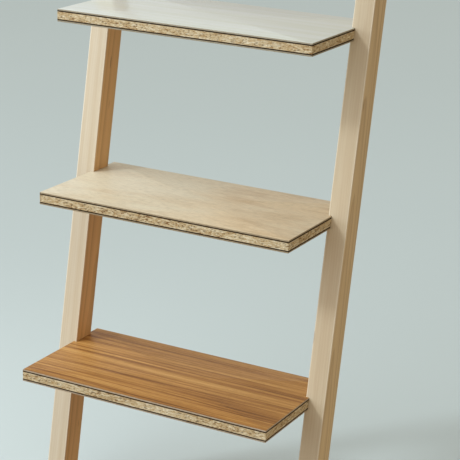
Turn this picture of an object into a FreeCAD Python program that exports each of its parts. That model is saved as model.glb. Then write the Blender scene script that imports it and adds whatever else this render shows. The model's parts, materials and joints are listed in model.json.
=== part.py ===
import FreeCAD, Part
import math
import os

# A ladder shelf: two leaning timber rails joined by level shelf boards that are housed in grooves.
# Frame: +X to the right and -Y to the front as a person stands before it, +Z up, floor at Z = 0.
# The origin is on the floor, under the middle of the whole footprint. Sizes are millimetres.

# Shelf boards
SHELF_COUNT = 6
SHELF_LENGTH = 400.0
SHELF_DEPTH = 200.0
SHELF_PITCH = 259.0            # from one shelf's top to the next, measured upright
FIRST_SHELF_TOP = 240.0        # lowest shelf's top above the floor
FRONT_OVERHANG = 134.0         # a shelf's front edge ahead of the rails' front face, at its top
CORE_THICKNESS = 11.0          # particleboard
DARK_LAYER_THICKNESS = 1.2     # resin-soaked backing of each face sheet
FACE_THICKNESS = 2.3           # decorative face sheet

# Rails
RAIL_ABOVE_TOP_SHELF = 261.0   # the rails' ends above the highest shelf's top, measured upright
RAIL_WIDTH = 30.0              # along X
RAIL_DEPTH = 40.0              # square to the slope
RAIL_EDGE_RADIUS = 1.0         # eased long edges
LEAN_DEG = 9.7                 # backwards from upright
PLUMB_CUT_HEIGHT = 40.0        # upright facet at each rail's top, where it meets the wall

# Housing grooves
GROOVE_DEPTH = 5.0
GROOVE_TOP_CLEARANCE = 0.15    # above a board, which rests on the groove's lower side
GROOVE_END_CLEARANCE = 0.10    # between a board's end and the groove's bottom

# Dowels, glued into the bottom of each groove and the end of each board
DOWEL_DIAMETER = 6.0
DOWEL_LENGTH = 30.0
DOWEL_IN_RAIL = 13.0
DOWEL_SPACING = 20.0
DOWEL_GLUE_CLEARANCE = 0.05    # all round
DOWEL_END_CLEARANCE = 1.0      # at each end
DOWEL_CHAMFER = 0.6

# Pads
FOOT_PAD_THICKNESS = 2.0
FOOT_PAD_MARGIN = 2.5          # inside the rail's foot, all round
WALL_PAD_THICKNESS = 2.0
WALL_PAD_MARGIN = 3.0          # inside the plumb cut, all round

# Worked out from the sizes above
SLOPE = math.tan(math.radians(LEAN_DEG))
RAIL_LEVEL_DEPTH = RAIL_DEPTH / math.cos(math.radians(LEAN_DEG))
BOARD_THICKNESS = CORE_THICKNESS + 2 * (DARK_LAYER_THICKNESS + FACE_THICKNESS)
SHELF_TOPS = [FIRST_SHELF_TOP + SHELF_PITCH * i for i in range(SHELF_COUNT)]
RAIL_TOP = SHELF_TOPS[-1] + RAIL_ABOVE_TOP_SHELF
RAIL_LENGTH = (RAIL_TOP - FOOT_PAD_THICKNESS) / math.cos(math.radians(LEAN_DEG))   # along the slope
RAIL_INNER_X = SHELF_LENGTH / 2 + GROOVE_END_CLEARANCE - GROOVE_DEPTH
GROOVE_BOTTOM_X = RAIL_INNER_X + GROOVE_DEPTH
PLUMB_CUT_BACK = RAIL_LEVEL_DEPTH + SLOPE * (RAIL_TOP - PLUMB_CUT_HEIGHT)
FOOTPRINT_FRONT = min(0.0, SLOPE * SHELF_TOPS[0] - FRONT_OVERHANG)
FOOTPRINT_BACK = max(PLUMB_CUT_BACK + WALL_PAD_THICKNESS,
                     SLOPE * SHELF_TOPS[-1] - FRONT_OVERHANG + SHELF_DEPTH)
RAIL_FOOT_FRONT = -(FOOTPRINT_FRONT + FOOTPRINT_BACK) / 2   # the rails' front face at the floor


def block(x, y, z):
    """A box from three (low, high) pairs."""
    corner = FreeCAD.Vector(x[0], y[0], z[0])
    return Part.makeBox(x[1] - x[0], y[1] - y[0], z[1] - z[0], corner)


def sided(low, high, side):
    """The span from low to high beyond the middle plane, on the left (-1) or the right (1)."""
    return (low, high) if side > 0 else (-high, -low)


def rail_front(z):
    """Y of the rails' front face at height z."""
    return RAIL_FOOT_FRONT + SLOPE * z


def shelf_y(top):
    """The (front, back) Y of the shelf whose top is at this height."""
    front = rail_front(top) - FRONT_OVERHANG
    return front, front + SHELF_DEPTH


def dowel_centres(top):
    """(Y, Z) of the two dowels at one end of a board, at mid thickness where board and rail meet."""
    z = top - BOARD_THICKNESS / 2
    shelf_front, shelf_back = shelf_y(top)
    front = max(rail_front(z), shelf_front)
    back = min(rail_front(z) + RAIL_LEVEL_DEPTH, shelf_back)
    middle = (front + back) / 2
    return [(middle - DOWEL_SPACING / 2, z), (middle + DOWEL_SPACING / 2, z)]


def dowel_hole(y, z, side):
    """The drilling for one dowel, through the joint between a rail and a board."""
    low = GROOVE_BOTTOM_X + DOWEL_IN_RAIL - DOWEL_LENGTH - DOWEL_END_CLEARANCE
    length = DOWEL_LENGTH + 2 * DOWEL_END_CLEARANCE
    radius = DOWEL_DIAMETER / 2 + DOWEL_GLUE_CLEARANCE
    return Part.makeCylinder(radius, length, FreeCAD.Vector(side * low, y, z),
                             FreeCAD.Vector(side, 0, 0))


def rail(side):
    """One leaning rail: eased edges, level ends, a plumb cut at the wall, grooves and drillings."""
    over = 2 * RAIL_DEPTH   # spare length at each end, removed by the level cuts
    bar = block((0, RAIL_WIDTH), (0, RAIL_DEPTH), (-over, RAIL_LENGTH + over))
    long_edges = [edge for edge in bar.Edges if edge.Length > RAIL_LENGTH]
    bar = bar.makeFillet(RAIL_EDGE_RADIUS, long_edges)
    bar.rotate(FreeCAD.Vector(0, 0, 0), FreeCAD.Vector(1, 0, 0), -LEAN_DEG)
    x = sided(RAIL_INNER_X, RAIL_INNER_X + RAIL_WIDTH, side)
    bar.translate(FreeCAD.Vector(x[0], RAIL_FOOT_FRONT, 0))
    front = rail_front(0) - over
    plumb_back = RAIL_FOOT_FRONT + PLUMB_CUT_BACK
    bar = bar.common(block((x[0] - 1, x[1] + 1), (front, plumb_back), (FOOT_PAD_THICKNESS, RAIL_TOP)))
    cuts = []
    for top in SHELF_TOPS:
        groove_x = sided(RAIL_INNER_X - 1, GROOVE_BOTTOM_X, side)
        groove_z = (top - BOARD_THICKNESS, top + GROOVE_TOP_CLEARANCE)
        cuts.append(block(groove_x, shelf_y(top), groove_z))
        cuts += [dowel_hole(y, z, side) for y, z in dowel_centres(top)]
    return bar.cut(cuts)


def shelf_layers(top):
    """The five glued layers of one board, from the top down, as (name, solid) pairs."""
    stack = [("top_face", FACE_THICKNESS),
             ("upper_dark_layer", DARK_LAYER_THICKNESS),
             ("core", CORE_THICKNESS),
             ("lower_dark_layer", DARK_LAYER_THICKNESS),
             ("bottom_face", FACE_THICKNESS)]
    holes = [dowel_hole(y, z, side) for side in (-1, 1) for y, z in dowel_centres(top)]
    x = (-SHELF_LENGTH / 2, SHELF_LENGTH / 2)
    layers = []
    high = top
    for name, thickness in stack:
        solid = block(x, shelf_y(top), (high - thickness, high))
        layers.append((name, solid.cut(holes) if name == "core" else solid))
        high -= thickness
    return layers


def dowels(side):
    """All the dowels on one side, as separate solids."""
    low = GROOVE_BOTTOM_X + DOWEL_IN_RAIL - DOWEL_LENGTH
    solids = []
    for y, z in sum((dowel_centres(top) for top in SHELF_TOPS), []):
        pin = Part.makeCylinder(DOWEL_DIAMETER / 2, DOWEL_LENGTH,
                                FreeCAD.Vector(side * low, y, z), FreeCAD.Vector(side, 0, 0))
        rims = [edge for edge in pin.Edges if edge.isClosed()]
        solids.append(pin.makeChamfer(DOWEL_CHAMFER, rims))
    return Part.makeCompound(solids)


def foot_pad(side):
    """The non-slip sheet under one rail."""
    x = sided(RAIL_INNER_X + FOOT_PAD_MARGIN, RAIL_INNER_X + RAIL_WIDTH - FOOT_PAD_MARGIN, side)
    front = rail_front(FOOT_PAD_THICKNESS) + FOOT_PAD_MARGIN
    back = rail_front(FOOT_PAD_THICKNESS) + RAIL_LEVEL_DEPTH - FOOT_PAD_MARGIN
    return block(x, (front, back), (0, FOOT_PAD_THICKNESS))


def wall_pad(side):
    """The rubber sheet on one rail's plumb cut, which touches the wall."""
    x = sided(RAIL_INNER_X + WALL_PAD_MARGIN, RAIL_INNER_X + RAIL_WIDTH - WALL_PAD_MARGIN, side)
    front = RAIL_FOOT_FRONT + PLUMB_CUT_BACK
    z = (RAIL_TOP - PLUMB_CUT_HEIGHT + WALL_PAD_MARGIN, RAIL_TOP - WALL_PAD_MARGIN)
    return block(x, (front, front + WALL_PAD_THICKNESS), z)


def all_nodes():
    """Every node's name and shape."""
    nodes = {}
    for label, side in (("left", -1), ("right", 1)):
        nodes[f"{label}_rail"] = rail(side)
        nodes[f"{label}_dowels"] = dowels(side)
        nodes[f"{label}_foot_pad"] = foot_pad(side)
        nodes[f"{label}_wall_pad"] = wall_pad(side)
    for number, top in enumerate(SHELF_TOPS, 1):
        for name, solid in shelf_layers(top):
            nodes[f"shelf_{number}_{name}"] = solid
    return nodes


os.makedirs("parts", exist_ok=True)
for node_name, shape in all_nodes().items():
    shape.exportStep(f"parts/{node_name}.step")
print(f"rails {RAIL_LENGTH:.1f} long, tops at {RAIL_TOP:.1f}, shelf tops {SHELF_TOPS}")
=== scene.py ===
# %% [markdown]
# # Finishing a ladder shelf
#
# The real object is a stack of level boards let into grooves in two leaning rails. The boards are
# particleboard with a decorative sheet glued to each side, and all their sawn edges are left bare,
# so the making is on show: sheet, dark resin line, chips, dark line, sheet. The joinery comes
# fixed from the CAD model. What is left for this lesson is how every surface looks, and the fine
# shape of the edges. First the frame comes in. Nothing made here may stand outside it.

# %% Load the frame
import json
import math

import bmesh
import bpy
from mathutils import Matrix, Vector, noise


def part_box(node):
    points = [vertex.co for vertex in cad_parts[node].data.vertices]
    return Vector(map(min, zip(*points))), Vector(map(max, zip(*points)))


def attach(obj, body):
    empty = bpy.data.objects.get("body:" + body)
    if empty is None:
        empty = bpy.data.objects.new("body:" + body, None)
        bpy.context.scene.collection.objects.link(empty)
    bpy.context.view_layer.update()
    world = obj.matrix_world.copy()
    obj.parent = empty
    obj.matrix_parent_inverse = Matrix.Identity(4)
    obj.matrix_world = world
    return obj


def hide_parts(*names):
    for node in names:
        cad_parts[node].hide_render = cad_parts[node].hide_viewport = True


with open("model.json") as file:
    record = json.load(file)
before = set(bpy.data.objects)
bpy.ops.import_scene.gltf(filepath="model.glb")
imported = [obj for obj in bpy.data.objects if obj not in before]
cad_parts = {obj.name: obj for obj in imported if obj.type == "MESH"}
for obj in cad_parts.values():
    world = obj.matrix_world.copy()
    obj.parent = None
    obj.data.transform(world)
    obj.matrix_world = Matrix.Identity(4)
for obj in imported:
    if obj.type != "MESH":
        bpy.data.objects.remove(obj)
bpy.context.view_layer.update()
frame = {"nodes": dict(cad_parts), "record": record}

nodes = frame["nodes"]
shelf_count = sum(name.endswith("_core") for name in nodes)


# %% [markdown]
# ## The camera
#
# A long lens from a few steps back keeps the boards' edges nearly parallel, as a catalogue picture
# does. It stands to the right of the shelf, at chest height, looks down a little, and is held a
# touch out of level. It aims near the second board, so the place comes from that board's box. A
# camera can be turned by three angles, or told to track an empty. Here its matrix is made of its own
# three directions, which is easier to trust than angles in an order one has to remember.

# %% Camera
camera_lens = 131.9                           # millimetres
film_width = 36                               # millimetres
camera_distance = 2.437                       # metres from the point it aims at
camera_yaw = math.radians(27.95)              # turned towards the left of the shelf
camera_pitch = math.radians(17.67)            # looking down
camera_roll = math.radians(1.94)              # right side a little high
aim_from_board = Vector((0.0416, 0.0311, -0.0482))   # from the middle of the second board's top

low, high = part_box("shelf_2_top_face")
board_top = Vector(((low.x + high.x) / 2, (low.y + high.y) / 2, high.z))
aim = board_top + aim_from_board
forward = Vector((-math.sin(camera_yaw) * math.cos(camera_pitch),
                  math.cos(camera_yaw) * math.cos(camera_pitch),
                  -math.sin(camera_pitch)))
level_right = Vector((math.cos(camera_yaw), math.sin(camera_yaw), 0))
level_up = level_right.cross(forward)
right = level_right * math.cos(camera_roll) + level_up * math.sin(camera_roll)
up = level_up * math.cos(camera_roll) - level_right * math.sin(camera_roll)

camera = bpy.data.objects.new("camera", bpy.data.cameras.new("camera"))
bpy.context.scene.collection.objects.link(camera)
camera.data.lens = camera_lens
camera.data.sensor_width = film_width
camera.matrix_world = Matrix.Translation(aim - forward * camera_distance) @ Matrix(
    (right, up, -forward)).transposed().to_4x4()
bpy.context.scene.camera = camera
print("camera at", tuple(round(v, 3) for v in camera.matrix_world.translation))

# %% [markdown]
# ## Writing shader sums as sums
#
# Each finish below is a small calculation: so much grain, less at the edges, a little painted shade
# in the pits. In a node editor that is a web of Math nodes. Here one small class, Wire, wraps an
# output socket and gives it Python's signs, so that `1 - worn * 0.3` builds its own nodes. A sign may
# have the plain number on either side, so each has its reflected form too.

# %% Wires
class Wire:
    """An output socket that adds Math nodes when it is used in a sum."""

    def __init__(self, recipe, socket):
        self.recipe = recipe
        self.socket = socket

    def __add__(self, other):
        return self.recipe.reckon("ADD", self, other)

    def __radd__(self, other):
        return self.recipe.reckon("ADD", other, self)

    def __sub__(self, other):
        return self.recipe.reckon("SUBTRACT", self, other)

    def __rsub__(self, other):
        return self.recipe.reckon("SUBTRACT", other, self)

    def __mul__(self, other):
        return self.recipe.reckon("MULTIPLY", self, other)

    def __rmul__(self, other):
        return self.recipe.reckon("MULTIPLY", other, self)

    def __truediv__(self, other):
        return self.recipe.reckon("DIVIDE", self, other)

    def __rtruediv__(self, other):
        return self.recipe.reckon("DIVIDE", other, self)

    def __pow__(self, other):
        return self.recipe.reckon("POWER", self, other)

    def __rpow__(self, other):
        return self.recipe.reckon("POWER", other, self)

    def __abs__(self):
        return self.recipe.reckon("ABSOLUTE", self)

    def fraction(self):
        """What is left over past the last whole number."""
        return self.recipe.reckon("FRACT", self)

    def between(self, low, high):
        """0 below low, 1 above high, and a smooth step from one to the other."""
        settings = {"interpolation_type": "SMOOTHSTEP"}
        return self.recipe.node("ShaderNodeMapRange", settings, {0: self, 1: low, 2: high})


print("Wire carries sums")

# %% [markdown]
# ## One way to make a node
#
# Every node comes from the one method `node`. It sets the node's settings first and its sockets
# after, since some settings change which sockets there are. Colours and vectors don't go through
# the signs above, because a Math node would turn a colour grey: they have `mix`, `shade` and
# `stretch`. Noise is what most finishes are made of, so it has a method of its own, `cloud`, in which
# the scale along each axis says how long or thin the lumps are.

# %% Node maker
class Recipe:
    """Adds nodes to one tree, a material's or the dome's."""

    def __init__(self, tree):
        self.tree = tree

    def node(self, kind, settings=None, inputs=None, output=0):
        """A new node with its settings, then its sockets, and one of its outputs as a wire."""
        made = self.tree.nodes.new(kind)
        for name, value in (settings or {}).items():
            if name == "stops":
                self.set_stops(made.color_ramp, value)
            else:
                setattr(made, name, value)
        for key, value in (inputs or {}).items():
            self.feed(made.inputs[key], value)
        return Wire(self, made.outputs[output])

    def set_stops(self, ramp, stops):
        """Gives a ramp its (position, colour) stops."""
        while len(ramp.elements) < len(stops):
            ramp.elements.new(1)
        for element, (position, colour) in zip(ramp.elements, stops):
            element.position = position
            element.color = (*colour, 1)

    def feed(self, socket, value):
        """Links a wire to a socket, or sets the socket to a number, colour or vector."""
        if isinstance(value, Wire):
            self.tree.links.new(value.socket, socket)
        elif hasattr(value, "__len__") and len(value) == 3 and socket.type == "RGBA":
            socket.default_value = (*value, 1)
        else:
            socket.default_value = value

    def reckon(self, operation, *values):
        """A Math node on these values, in this order."""
        return self.node("ShaderNodeMath", {"operation": operation}, dict(enumerate(values)))

    def apart(self, vector):
        """A vector's three numbers, each as a wire of its own."""
        split = self.node("ShaderNodeSeparateXYZ", None, {0: vector})
        return [Wire(self, socket) for socket in split.socket.node.outputs]

    def together(self, x, y, z):
        """Three numbers as one vector."""
        return self.node("ShaderNodeCombineXYZ", None, {0: x, 1: y, 2: z})

    def stretch(self, vector, scale, shift=(0, 0, 0)):
        """A vector times a scale, plus a shift, axis by axis."""
        settings = {"operation": "MULTIPLY_ADD"}
        return self.node("ShaderNodeVectorMath", settings, {0: vector, 1: scale, 2: shift})

    def cloud(self, vector, scale, detail=2.0, roughness=0.5):
        """Noise from about 0.25 to 0.75, at `scale` lumps to the metre along each axis."""
        place = self.stretch(vector, scale)
        inputs = {"Vector": place, "Scale": 1, "Detail": detail, "Roughness": roughness}
        return self.node("ShaderNodeTexNoise", None, inputs)

    def cells(self, vector, feature="F1", output=0):
        """Voronoi cells, one to each unit of the vector."""
        inputs = {"Vector": vector, "Scale": 1.0, "Randomness": 1.0}
        return self.node("ShaderNodeTexVoronoi", {"feature": feature}, inputs, output)

    def mix(self, share, first, second):
        """The first colour where share is 0, and the second where it is 1."""
        inputs = {0: share, 6: first, 7: second}
        return self.node("ShaderNodeMix", {"data_type": "RGBA"}, inputs, output=2)

    def shade(self, colour, factor):
        """A colour made lighter or darker by a number that varies."""
        return self.node("ShaderNodeVectorMath", {"operation": "SCALE"}, {0: colour, "Scale": factor})


print("Recipe makes nodes")

# %% [markdown]
# ## What every finish shares
#
# A finish is a recipe in a material's own tree. It reads the place on the object, because a pattern
# tied to the object's space runs on from one face to the next with no seams and needs no unwrapping.
# What is the same all over the surface, such as the specular level, is set on the shader itself.
# What changes over the surface is worked out and fed in at the end by `painted`.

# %% Finishes
class Finish(Recipe):
    """A material in the making. `fixed` are values that are the same all over the surface."""

    def __init__(self, name, fixed):
        self.material = bpy.data.materials.new(name)
        self.material.use_nodes = True
        super().__init__(self.material.node_tree)
        self.shader = self.tree.nodes["Principled BSDF"]
        self.place = self.node("ShaderNodeTexCoord", output="Object")
        for socket, value in fixed.items():
            self.shader.inputs[socket].default_value = value

    def painted(self, colour, roughness, height=None, relief=0.0):
        """Feeds the shader. `relief` is how many metres a height of 1 stands out."""
        self.feed(self.shader.inputs["Base Color"], colour)
        self.feed(self.shader.inputs["Roughness"], roughness)
        if height is not None:
            inputs = {"Strength": 1.0, "Distance": relief, "Height": height}
            bump = self.node("ShaderNodeBump", None, inputs)
            self.feed(self.shader.inputs["Normal"], bump)
        print(f"{self.material.name}: {len(self.tree.nodes)} nodes")
        return self.material


print("Finish makes materials")

# %% [markdown]
# ## Rail timber
#
# The rails are planed softwood, pale, straight in the grain and lightly oiled. Real timber is not
# a picture stuck on four sides: the same growth rings run through the whole bar, so the front shows
# tight parallel lines where it cuts the rings square, the sides show broad tongues where it runs
# along them, and the ends show arcs. Stretched noise would be quicker, but it gives the same lines on
# every side. A solid pattern of rings gives all three figures at once. The rings are distances from a
# pith outside the bar, which drifts along the length so that the tongues close. The place on the rail
# is first turned upright by the lean, or the grain would run off the bar. The sides that face right
# are painted browner and more orange, as painted shade for the dim, warm light on them, so there the
# face's direction chooses a browner pair of woods.

# %% Lean of the rails
low_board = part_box("shelf_1_top_face")[0]
high_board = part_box(f"shelf_{shelf_count}_top_face")[0]
lean = math.atan2(high_board.y - low_board.y, high_board.z - low_board.z)
print(f"rails lean back by {math.degrees(lean):.2f} degrees")


# %% Rail timber
ring_gap = 0.0036                    # metres of growth a year
rail_width = 0.030
rail_depth = 0.040                   # square to the slope
arris_inner = 0.0024                 # the painted arris highlight fades in from here to here, in metres from the rail's side
arris_outer = 0.0007                 # here, in metres from the rail's side
fleck_brown = (0.230, 0.120, 0.055)
painted_arris_highlight = (0.950, 0.890, 0.760)


def near_side(distance, half_width):
    """1 beside a side of the bar and 0 inside it, from the distance to the bar's middle."""
    return abs(distance).between(half_width - arris_inner, half_width - arris_outer)


def rail_timber(side_name, pith, drift, seed, pale_woods, shaded_side_woods):
    """Solid-grain timber for one rail. `pith` is how far to the right of the bar and behind it the
    tree's pith stands, `drift` how far that moves to the right in a metre of length, and `seed`
    shifts the pattern along the bar. The woods are (early, late) pairs: the pale ones all round,
    and the browner ones, which are painted shade, on the sides that face right."""
    low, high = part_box(f"{side_name}_rail")
    finish = Finish(f"rail_timber_{side_name}", {"Specular IOR Level": 0.4})
    turned = finish.node("ShaderNodeVectorRotate", {"rotation_type": "X_AXIS"},
                         {"Vector": finish.place, "Angle": lean})
    front = low.y * math.cos(lean) - low.z * math.sin(lean)
    centre = (-(low.x + high.x) / 2, -(front + rail_depth / 2), seed)
    bar = finish.stretch(turned, (1, 1, 1), centre)
    across, through, along = finish.apart(bar)

    # Rings: distance from the pith, bent by slow and quick noise, and darkest late in each year.
    wander = finish.cloud(bar, (14, 14, 1.6), detail=2) - 0.5
    ripple = finish.cloud(bar, (60, 60, 9), detail=1) - 0.5
    sway = (finish.cloud(bar, (5, 5, 3.2), detail=1) - 0.5) * 0.012
    strand = finish.together(across + sway, through + sway, along)
    from_pith_x = across - pith[0] - along * drift
    from_pith_y = through - pith[1]
    radius = (from_pith_x ** 2 + from_pith_y ** 2) ** 0.5 + wander * 0.016 + ripple * 0.0016
    year = (radius / ring_gap).fraction()
    late = year ** 2.2 * (1 - year.between(0.93, 1.0))

    # Figure: long lines in three widths, over slow changes of tone.
    fibre = finish.cloud(strand, (1300, 1300, 16), detail=2, roughness=0.6)
    streak = finish.cloud(strand, (270, 270, 2.2), detail=2)
    band = finish.cloud(strand, (70, 70, 1.4), detail=1)
    tone = finish.cloud(bar, (16, 16, 1.9), detail=2)
    figure = (streak - 0.5) * 0.55 + (band - 0.5) * 0.9 + (fibre - 0.5) * 0.7
    pale = finish.mix((figure + late * 0.20 + 0.26).between(-0.2, 0.95), *pale_woods)
    shaded_side_colour = finish.mix((figure + late * 0.62 + 0.12).between(-0.2, 1.1), *shaded_side_woods)
    # The browner woods on right-facing sides are painted shade, chosen by the face's direction.
    facing = finish.node("ShaderNodeNewGeometry", output="True Normal")
    right_facing_shade = finish.apart(facing)[0].between(0.3, 0.9)
    colour = finish.mix(right_facing_shade, pale, shaded_side_colour)
    colour = finish.shade(colour, 0.84 + tone * 0.32)

    # Small brown flecks along the grain, and a painted highlight with smoother wood on the arrises.
    spot = finish.cells(finish.stretch(bar, (62, 62, 7.0)))
    fleck = 1 - spot.between(0.050, 0.085)
    colour = finish.mix(fleck * 0.7, colour, fleck_brown)
    arris = near_side(across, rail_width / 2) * near_side(through, rail_depth / 2)
    # The paler arrises are a painted highlight.
    colour = finish.mix(arris * 0.45, colour, painted_arris_highlight)
    roughness = 0.50 + fibre * 0.16 - arris * 0.16
    height = fibre * 0.5 + late * 0.5
    return finish.painted(colour, roughness, height, relief=0.00012)


timber = {
    "left": rail_timber("left", (0.062, 0.014), 0.010, 0.31,
                        ((0.720, 0.638, 0.505), (0.610, 0.497, 0.346)),
                        ((0.750, 0.450, 0.198), (0.520, 0.290, 0.117))),
    "right": rail_timber("right", (0.050, -0.010), -0.022, 2.74,
                         ((0.690, 0.590, 0.435), (0.575, 0.450, 0.300)),
                         ((0.790, 0.607, 0.354), (0.530, 0.360, 0.184)))}
for side_name, wood in timber.items():
    nodes[f"{side_name}_rail"].data.materials.clear()
    nodes[f"{side_name}_rail"].data.materials.append(wood)
print("rails finished")

# %% [markdown]
# ## Decorative sheets
#
# Three sheets repeat up the ladder: teak, maple and a warm white. Each is a thin wood-figured layer
# with a satin surface, and its figure runs along the board. Rings like the rails' would suit a sawn
# plank, but a sheet this straight in the grain is simply noise pulled out many times longer than it
# is wide. Several widths of it are laid over each other, from broad changes of tone down to pores,
# because one width alone looks like corduroy. Every board lies at its own height, and the noise is
# solid, so no two boards repeat. Teak comes first: its lines are strong, and its pores are dull and a
# little sunk.

# %% Teak sheet
def teak_sheet():
    """Orange-brown, with strong dark and light lines from edge to edge."""
    finish = Finish("teak_sheet", {"Specular IOR Level": 0.3})
    x, y, z = finish.apart(finish.place)
    sway = (finish.cloud(finish.place, (3.0, 9.0, 40), detail=1) - 0.5) * 0.012
    figure = finish.together(x, y + sway, z)
    broad = finish.cloud(figure, (1.4, 30, 60), detail=1)
    band = finish.cloud(figure, (3.2, 150, 60), detail=2, roughness=0.55)
    line = finish.cloud(figure, (6.0, 560, 60), detail=2, roughness=0.6)
    pore = finish.cloud(figure, (70, 2400, 60), detail=1)
    tone = (broad - 0.5) * 0.8 + (band - 0.5) * 1.35 + (line - 0.5) * 0.9 + 0.5
    colour = finish.node("ShaderNodeValToRGB", {"stops": [
        (0.08, (0.165, 0.060, 0.011)), (0.36, (0.345, 0.152, 0.035)),
        (0.60, (0.480, 0.240, 0.064)), (0.92, (0.620, 0.350, 0.115))]}, {0: tone})
    pores = 1 - pore.between(0.32, 0.42)
    colour = finish.shade(colour, 1.0 - pores * 0.28)
    roughness = 0.42 + band * 0.14 + pores * 0.20
    return finish.painted(colour, roughness, line - pores * 0.7, relief=0.00006)


sheet_finishes = {"teak_sheet": teak_sheet()}

# %% [markdown]
# ## Maple
#
# Maple has hardly any lines. What the eye sees is slow cream clouds, short fine dashes, and a drift
# to tan towards the right end of the board, which is painted shade for light falling off from the
# left. The drift is a slope along X, and the clouds move its edge about so that it never shows as a
# line.

# %% Maple sheet
def maple_sheet():
    """Pale cream with short fine dashes, in slow clouds, with painted shade that turns it tan towards
    the right end.
    """
    finish = Finish("maple_sheet", {"Specular IOR Level": 0.4})
    cloud = finish.cloud(finish.place, (6.5, 17, 50), detail=3)
    band = finish.cloud(finish.place, (11, 52, 50), detail=3, roughness=0.6)
    dash = finish.cloud(finish.place, (75, 620, 50), detail=2, roughness=0.6)
    pore = finish.cloud(finish.place, (130, 1700, 50), detail=1)
    # The tan drift to the right end, and the stronger dark bands there, are painted shade for light
    # falling off from the left.
    along = finish.apart(finish.place)[0]
    tan = (along * 2.2 + 0.40 + (cloud - 0.5) * 1.6).between(0.0, 1.0)
    colour = finish.mix(tan, (0.684, 0.606, 0.458), (0.668, 0.528, 0.348))
    darker = band.between(0.42, 0.70) * (0.25 + tan * 0.50)
    colour = finish.mix(darker, colour, (0.535, 0.385, 0.225))
    dashes = dash.between(0.44, 0.66)
    colour = finish.shade(colour, 1.06 - dashes * 0.17 - pore.between(0.54, 0.68) * 0.09)
    roughness = 0.38 + dash * 0.14
    return finish.painted(colour, roughness, dash * -1, relief=0.00004)


sheet_finishes["maple_sheet"] = maple_sheet()

# %% [markdown]
# ## White
#
# The white sheet has the same pressed figure as the others, with next to no colour in it: bands that
# lean a little to green and a little to cream. One flat white would look like plastic. Its gloss
# is the highest of the three, and the bands vary it, so the figure comes and goes with the light.

# %% White sheet
def white_sheet():
    """Warm white with a soft gloss and a faint figure."""
    finish = Finish("white_sheet", {"Specular IOR Level": 0.5})
    band = finish.cloud(finish.place, (2.4, 70, 50), detail=2)
    line = finish.cloud(finish.place, (7.0, 380, 50), detail=2, roughness=0.6)
    colour = finish.mix(band.between(0.34, 0.66), (0.715, 0.752, 0.728), (0.672, 0.705, 0.636))
    colour = finish.shade(colour, 1.0 + (line - 0.5) * 0.05)
    roughness = 0.24 + band * 0.08 + line * 0.04
    return finish.painted(colour, roughness, line, relief=0.00001)


sheet_finishes["white_sheet"] = white_sheet()
slot_of = {row["node"]: row["material_slot"] for row in frame["record"]["subparts"]}
print("sheets:", ", ".join(sheet_finishes))

# %% [markdown]
# ## The raw edges
#
# A sawn board shows three more materials. Each decorative sheet has a fibrous body under its face,
# greyer or browner than the face. Next to it is the dark resin backing, and some of its resin has
# soaked into the sheet. How deep it went could be worked out from height in the material, but the
# boards lie at many heights. So the mesh carries the answer, as a value called "soaked", and the
# finish only reads it.

# %% Sheet bodies
resin_dark = (0.018, 0.009, 0.003)


def sheet_body(name, pale, dull):
    """The fibre inside a decorative sheet, seen where it is cut."""
    finish = Finish(name, {"Specular IOR Level": 0.25})
    fibre = finish.cloud(finish.place, (150, 150, 1800), detail=3, roughness=0.6)
    colour = finish.mix(fibre.between(0.35, 0.65), pale, dull)
    soaked = finish.node("ShaderNodeAttribute", {"attribute_name": "soaked"}, output="Fac")
    colour = finish.mix(soaked * 0.9, colour, resin_dark)
    return finish.painted(colour, 0.62 + fibre * 0.2, fibre, relief=0.00008)


body_finishes = {
    "teak_sheet": sheet_body("teak_sheet_body", (0.500, 0.410, 0.310), (0.370, 0.285, 0.200)),
    "maple_sheet": sheet_body("maple_sheet_body", (0.430, 0.345, 0.230), (0.300, 0.230, 0.145)),
    "white_sheet": sheet_body("white_sheet_body", (0.440, 0.400, 0.310), (0.320, 0.280, 0.205))}


# %% Resin
def resin_line():
    """The dark backing: brown-black, dull and a little uneven."""
    finish = Finish("resin_line", {"Specular IOR Level": 0.05})
    patch = finish.cloud(finish.place, (160, 160, 900), detail=3, roughness=0.65)
    colour = finish.mix(patch.between(0.40, 0.72), resin_dark, (0.036, 0.019, 0.007))
    return finish.painted(colour, 0.55 + patch * 0.3, patch, relief=0.00008)


resin = resin_line()

# %% [markdown]
# ## Chips
#
# The core is wood chips pressed flat, so on an edge each chip is a thin dash lying level: cream, tan
# or brown, with small holes where chips pulled out. Noise has no borders, and would look like
# marble. Voronoi cells squashed flat make chips, because each cell carries one random colour and
# meets its neighbours at a sharp border. Holes are real dents in the mesh, and the mesh tells the
# finish where they are through a value called "pit". The finish paints shade into them, dark brown, so
# that shape and colour always agree.

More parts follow.
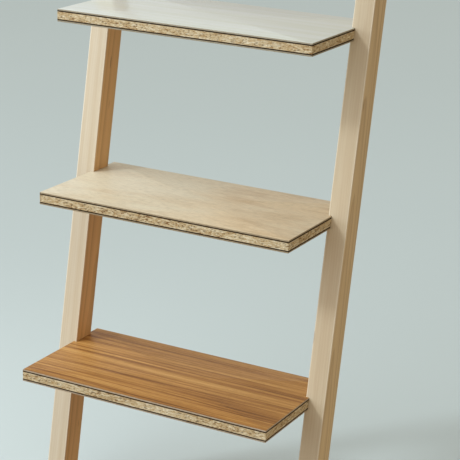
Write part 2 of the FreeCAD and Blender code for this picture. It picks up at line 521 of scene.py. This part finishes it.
# %% Chips
def chip_board():
    """Pressed chips on the sawn edge of the core."""
    finish = Finish("chip_board", {"Specular IOR Level": 0.25})
    warp = finish.cloud(finish.place, (160, 160, 60), detail=1) - 0.5
    x, y, z = finish.apart(finish.place)
    bent = finish.together(x, y, z + warp * 0.0010)
    coarse = finish.stretch(bent, (150, 150, 760))
    fine = finish.stretch(bent, (420, 420, 1600))
    chip = finish.cells(coarse, output="Color")
    crumb = finish.cells(fine, output="Color")
    border = finish.cells(coarse, feature="DISTANCE_TO_EDGE")
    patch = finish.cloud(finish.place, (15, 15, 60), detail=2) - 0.5
    draw = finish.apart(chip)[0] * 0.55 + finish.apart(crumb)[1] * 0.45 + patch * 0.6
    colour = finish.node("ShaderNodeValToRGB", {"stops": [
        (0.04, (0.190, 0.090, 0.035)), (0.16, (0.460, 0.285, 0.122)), (0.32, (0.620, 0.470, 0.265)),
        (0.60, (0.720, 0.596, 0.382)), (0.88, (0.885, 0.808, 0.622))]}, {0: draw})
    pit = finish.node("ShaderNodeAttribute", {"attribute_name": "pit"}, output="Fac")
    gap = 1 - border.between(0.0, 0.07)
    colour = finish.shade(colour, 1 - gap * 0.16)
    # Painted shade in the holes, dark brown; by the dark lines the same mark is resin that has soaked
    # in.
    colour = finish.mix(pit * 0.82, colour, (0.130, 0.070, 0.030))
    return finish.painted(colour, 0.72 + draw * 0.15, draw - gap, relief=0.00015)


chips = chip_board()

# %% [markdown]
# ## A slab with a worked edge
#
# Every layer of a board is the same kind of solid: a flat rectangle whose interest is all in its rim.
# A bevel and a displacement would work on a plain box, but they would spend points on the wide flat
# faces too. Here the rim is built as rings of points that go round the rectangle, one ring above
# another. Each ring can be pulled inwards, point by point, by a rule that the layer brings along: an
# eased arris, a nibbled line, or holes. The rule also gives a mark from 0 to 1, which the mesh keeps
# for the finish to read. Two fans of triangles close the slab above and below. Pulling only inwards
# keeps the slab inside its CAD solid, so it never touches the grooves that hold it.

# %% Rim
def rim_points(low, high, step):
    """Points round a rectangle, evenly spaced, each with the way in from there."""
    corners = [(low.x, low.y), (high.x, low.y), (high.x, high.y), (low.x, high.y)]
    inwards = [(0, 1), (-1, 0), (0, -1), (1, 0)]
    points = []
    for i, (start, way_in) in enumerate(zip(corners, inwards)):
        end = corners[(i + 1) % 4]
        before = inwards[i - 1]
        count = max(1, round((Vector(end) - Vector(start)).length / step))
        for k in range(count):
            share = k / count
            spot = Vector(start).lerp(Vector(end), share)
            way = Vector(way_in) if k else Vector(way_in) + Vector(before)
            points.append((spot, way))
    return points


# %% Slab
smooth_below = math.radians(35)      # edges that turn less than this are shaded smooth


def slab(name, low, high, rings, step, finishes, value=None):
    """A closed slab. `rings` are (height, rule) from the bottom up, where the rule gives the pull
    inwards in metres and the mark at a point. `finishes` are for the rim, the lower face and the
    upper face. `value` names the attribute that keeps the marks."""
    shape = bmesh.new()
    layer = shape.verts.layers.float.new(value) if value else None
    rim = rim_points(low, high, step)
    loops = []
    for height, rule in rings:
        loop = []
        for spot, way in rim:
            pull, mark = rule(Vector((spot.x, spot.y, height)))
            vertex = shape.verts.new((spot.x + way.x * pull, spot.y + way.y * pull, height))
            if layer is not None:
                vertex[layer] = mark
            loop.append(vertex)
        loops.append(loop)
    count = len(rim)
    for under, over in zip(loops, loops[1:]):
        for k in range(count):
            n = (k + 1) % count
            shape.faces.new((under[k], under[n], over[n], over[k]))
    for loop, slot_index in ((loops[0][::-1], 1), (loops[-1], 2)):
        lid = shape.faces.new(loop)
        lid.material_index = slot_index
        bmesh.ops.poke(shape, faces=[lid])
    mesh = bpy.data.meshes.new(name)
    shape.to_mesh(mesh)
    shape.free()
    for finish in finishes:
        mesh.materials.append(finish)
    mesh.shade_smooth()
    mesh.set_sharp_from_angle(angle=smooth_below)
    piece = bpy.data.objects.new(name, mesh)
    bpy.context.scene.collection.objects.link(piece)
    return piece


def stand_in(piece, node):
    """Puts a finished piece in the place of the plain CAD solid it was made from."""
    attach(piece, "root")
    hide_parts(node)
    return piece


print("slab tool ready")

# %% [markdown]
# ## Sheets on the boards
#
# A decorative sheet's outer arris is the sharpest edge on the object, and the first to wear. It is
# broken by a quarter of a millimetre and nibbled by slow noise, just enough for the light to catch
# it unevenly. A bevel modifier would ease it evenly, which looks like moulded plastic. On the other
# side the rings that resin has reached are marked as soaked. The outer face takes the figured
# finish, and the rim shows the sheet's dull body. The sheets under the boards are the same rings
# turned over.

# %% Rules for rings
arris_break = 0.00028                # metres taken off the outer arris
arris_share = 0.29                   # of the break, at the middle of a round arris
soak_height = 0.00040                # metres that resin has soaked in, all dark
soak_end = 0.00052                   # and where it stops
sheet_step = 0.004                   # metres between points along the rim


def nibble(point, scale, depth):
    """A smooth random pull inwards, from nothing to depth."""
    return depth * (0.5 + 0.5 * max(-1.0, min(1.0, noise.noise(point * scale))))


def straight(pull, mark=0.0, scale=90, depth=0.00010):
    """A rule for one ring: the same pull all the way round, and a little nibbled."""
    return lambda point: (pull + nibble(point, scale, depth), mark)


def sheet_rings(thickness):
    """(height, rule) of the rings, from the resin side to the eased arris."""
    return [(0.0, straight(0.0, 1.0)),
            (soak_height, straight(0.0, 1.0)),
            (soak_end, straight(0.0)),
            (thickness - arris_break, straight(0.0)),
            (thickness - arris_break * arris_share, straight(arris_break * arris_share)),
            (thickness, straight(arris_break))]


print(f"a sheet has {len(sheet_rings(0.002))} rings")

# %% Face sheets
for number in range(1, shelf_count + 1):
    for place in ("top", "bottom"):
        node = f"shelf_{number}_{place}_face"
        low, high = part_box(node)
        face = sheet_finishes[slot_of[node]]
        body = body_finishes[slot_of[node]]
        rings = sheet_rings(high.z - low.z)
        if place == "top":
            finishes = (body, body, face)
            rings = [(low.z + height, rule) for height, rule in rings]
        else:
            finishes = (body, face, body)
            rings = [(high.z - height, rule) for height, rule in reversed(rings)]
        sheet = slab(f"shelf_{number}_{place}_sheet", low, high, rings, sheet_step, finishes, "soaked")
        stand_in(sheet, node)
print(f"{2 * shelf_count} sheets laid")

# %% [markdown]
# ## Resin lines
#
# The dark backing is only about a millimetre thick, but it draws the outline of every board. The saw
# leaves it very slightly below its neighbours and not quite even. Paint alone would give the colour
# but not the thin groove that catches shade, so the rim is drawn in by up to two tenths of a
# millimetre. The layer's upper and lower faces are hidden in the board.

# %% Dark layers
line_step = 0.003                    # metres between points along the rim
line_depth = 0.00022                 # the most that a line is drawn in

for number in range(1, shelf_count + 1):
    for place in ("upper", "lower"):
        node = f"shelf_{number}_{place}_dark_layer"
        low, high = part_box(node)
        drawn_in = straight(0.0, scale=160, depth=line_depth)
        rings = [(low.z, drawn_in), ((low.z + high.z) / 2, drawn_in), (high.z, drawn_in)]
        stand_in(slab(f"shelf_{number}_{place}_line", low, high, rings, line_step, (resin,) * 3), node)
print(f"{2 * shelf_count} dark layers laid")

# %% [markdown]
# ## Chip cores
#
# The core's edge is where hands and eyes go. Chips torn out by the saw leave holes up to six tenths
# of a millimetre deep, flat and level like the chips themselves, so the noise that places them is
# squashed in height as the chips are. A bump map would darken them, but it can't break the line of
# the edge at a corner, and holes in the mesh do. The outermost rings stay straight, to meet the dark
# lines cleanly. They are marked like a hole, fading inwards, because resin has soaked in there too.

# %% Cores
core_step = 0.0016                   # metres between points along the rim
core_heights = 8                     # evenly spaced, the outermost two at the dark lines
pit_depth = 0.0006
core_soak = 0.0006                   # metres that resin has soaked in, fading to none


def torn(point):
    """How far in the saw has torn the edge here, and the same as a share of the deepest hole."""
    where = Vector((point.x * 240, point.y * 240, point.z * 700))
    lump = noise.noise(where) + 0.45 * noise.noise(where * 2.3)
    share = max(0.0, min(1.0, (lump - 0.26) / 0.34))
    return pit_depth * share + nibble(point, 420, 0.00008), share


def unmoved(mark):
    """A rule for a ring beside a dark line, which stays straight."""
    return lambda point: (0.0, mark)


for number in range(1, shelf_count + 1):
    node = f"shelf_{number}_core"
    low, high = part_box(node)
    heights = [low.z + (high.z - low.z) * i / (core_heights - 1) for i in range(core_heights)]
    rings = [(low.z, unmoved(1.0)), (low.z + core_soak, unmoved(0.0))]
    rings += [(height, torn) for height in heights[1:-1]]
    rings += [(high.z - core_soak, unmoved(0.0)), (high.z, unmoved(1.0))]
    stand_in(slab(f"shelf_{number}_chip_core", low, high, rings, core_step, (chips,) * 3, "pit"), node)
print(f"{shelf_count} cores laid")

# %% [markdown]
# ## Rubber pads
#
# Under each foot and behind each rail's top is a thin rubber sheet, matt black and a little dusty,
# with its edges eased by cutting. It is the slab again, with rings for the eased edges above and
# below. The same tool for a new piece keeps its edges of one family with the boards'.

# %% Rubber pads
def pad_rubber():
    """Matt black rubber, gritty, with dust in patches."""
    finish = Finish("pad_rubber", {"Specular IOR Level": 0.35})
    grit = finish.cloud(finish.place, (1500, 1500, 1500), detail=2)
    dust = finish.cloud(finish.place, (90, 90, 90), detail=3, roughness=0.6)
    colour = finish.mix(dust.between(0.45, 0.75), (0.018, 0.018, 0.019), (0.060, 0.058, 0.054))
    return finish.painted(colour, 0.72 + grit * 0.2, grit, relief=0.00015)


rubber = pad_rubber()
pad_easing = 0.00040                 # metres
pad_step = 0.002                     # metres between points along the rim
for side_name in ("left", "right"):
    for place in ("foot", "wall"):
        node = f"{side_name}_{place}_pad"
        low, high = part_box(node)
        cut = straight(pad_easing, scale=300, depth=0.00008)
        side = straight(0.0, scale=300, depth=0.00008)
        rings = [(low.z, cut), (low.z + pad_easing, side), (high.z - pad_easing, side), (high.z, cut)]
        stand_in(slab(f"{side_name}_{place}_rubber", low, high, rings, pad_step, (rubber,) * 3), node)
print("pads laid")

# %% [markdown]
# ## Dowels
#
# The dowels are inside the joints, where nobody sees them, but they are part of the object and show
# when it is taken apart. Their CAD shape is right already, so they only get a finish: plain beech,
# with the grain along the pin and the short dark flecks that mark that wood.

# %% Dowels
def dowel_beech():
    """Plain pinkish beech with short dark flecks."""
    finish = Finish("dowel_beech", {"Specular IOR Level": 0.3})
    fibre = finish.cloud(finish.place, (40, 1400, 1400), detail=2)
    ray = finish.cloud(finish.place, (500, 2600, 900), detail=1)
    colour = finish.mix(fibre.between(0.3, 0.7), (0.620, 0.430, 0.270), (0.480, 0.310, 0.180))
    colour = finish.shade(colour, 1.0 - ray.between(0.6, 0.7) * 0.25)
    return finish.painted(colour, 0.55 + fibre * 0.2, fibre, relief=0.0001)


beech = dowel_beech()
for side_name in ("left", "right"):
    nodes[f"{side_name}_dowels"].data.materials.clear()
    nodes[f"{side_name}_dowels"].data.materials.append(beech)
print("dowels finished")

# %% [markdown]
# ## Floor
#
# The floor is plain, pale and so wide that no edge of it shows. A floor this pale would throw so much
# light up that the boards' undersides would look flat. So diffuse rays don't see it, and the dome
# decides how dark the shelf is from below. Shadows still fall on the floor, which seats the feet.

# %% Floor
floor_half = 30.0
floor_mesh = bpy.data.meshes.new("floor")
floor_mesh.from_pydata([(-floor_half, -floor_half, 0), (floor_half, -floor_half, 0),
                        (floor_half, floor_half, 0), (-floor_half, floor_half, 0)], [], [(0, 1, 2, 3)])
floor = bpy.data.objects.new("floor", floor_mesh)
bpy.context.scene.collection.objects.link(floor)
floor_paint = Finish("floor_paint", {"Specular IOR Level": 0.2})
haze = floor_paint.cloud(floor_paint.place, (0.7, 0.7, 0.7), detail=2)
floor_mesh.materials.append(floor_paint.painted(
    floor_paint.mix(haze, (0.555, 0.640, 0.660), (0.585, 0.665, 0.685)), 0.85))
floor.visible_diffuse = False
print(f"floor {2 * floor_half:.0f} metres wide")

# %% [markdown]
# ## Lamps
#
# The shelf stands in daylight from the front left and above. One small lamp would cut hard shadows,
# and one wide lamp would leave none. So most of the light comes from a wide soft window, which makes
# a board darken the rail most right under itself, and a weak sun from the same side gives the
# shadows an edge that can just be read. A white card at the left lifts the boards' left ends.

# %% Lamps
daylight = Vector((0.95, 1.0, -1.05)).normalized()           # the way the daylight goes


def lamp(name, kind, energy, colour, way=daylight):
    """A lamp that shines one way, and that the camera can't see."""
    made = bpy.data.objects.new(name, bpy.data.lights.new(name, kind))
    made.data.energy = energy
    made.data.color = colour
    made.visible_camera = False
    made.rotation_mode = "QUATERNION"
    made.rotation_quaternion = way.to_track_quat("-Z", "Y")
    bpy.context.scene.collection.objects.link(made)
    return made


key = lamp("key", "SUN", 0.85, (0.92, 0.99, 1.0))
key.data.angle = math.radians(8.0)
window = lamp("window", "AREA", 58.5, (0.84, 0.93, 1.0))
window.data.shape = "SQUARE"
window.data.size = 4.2
window_aim = Vector((0, 0, 0.6))
window_distance = 3.0
window.location = window_aim - daylight * window_distance
card = lamp("card", "AREA", 3.2, (1.0, 0.98, 0.94), way=Vector((1, 0.1, -0.1)))
card.data.size = 0.8
card.location = (-0.95, -0.30, 0.80)
print("three lamps")

# %% [markdown]
# ## Dome
#
# The dome fills the shade. One grey all round would make every shaded side alike. In a room the
# light is cooler towards the window and warmer away from it, and dim and warm from below, where it
# comes back off the floorboards. So the dome mixes four colours, by how far right and how high up
# each part of it is. The change from floor to wall lies just under the horizon.

# %% Dome
dome = bpy.data.worlds.new("dome")
dome.use_nodes = True
sky = Recipe(dome.node_tree)
way = sky.apart(sky.node("ShaderNodeTexCoord", output="Generated"))
warmer = way[0].between(-0.8, 0.8)
rise = way[2]
above = sky.mix(warmer, (0.690, 0.695, 0.675), (0.520, 0.458, 0.350))
below = sky.mix(warmer, (0.370, 0.300, 0.225), (0.300, 0.212, 0.122))
glow = sky.mix(rise.between(-0.30, 0.02), below, above)
sky.feed(dome.node_tree.nodes["Background"].inputs["Color"], glow)
bpy.context.scene.world = dome
bpy.context.scene.view_settings.view_transform = "Standard"
print(f"dome: {len(dome.node_tree.nodes)} nodes")
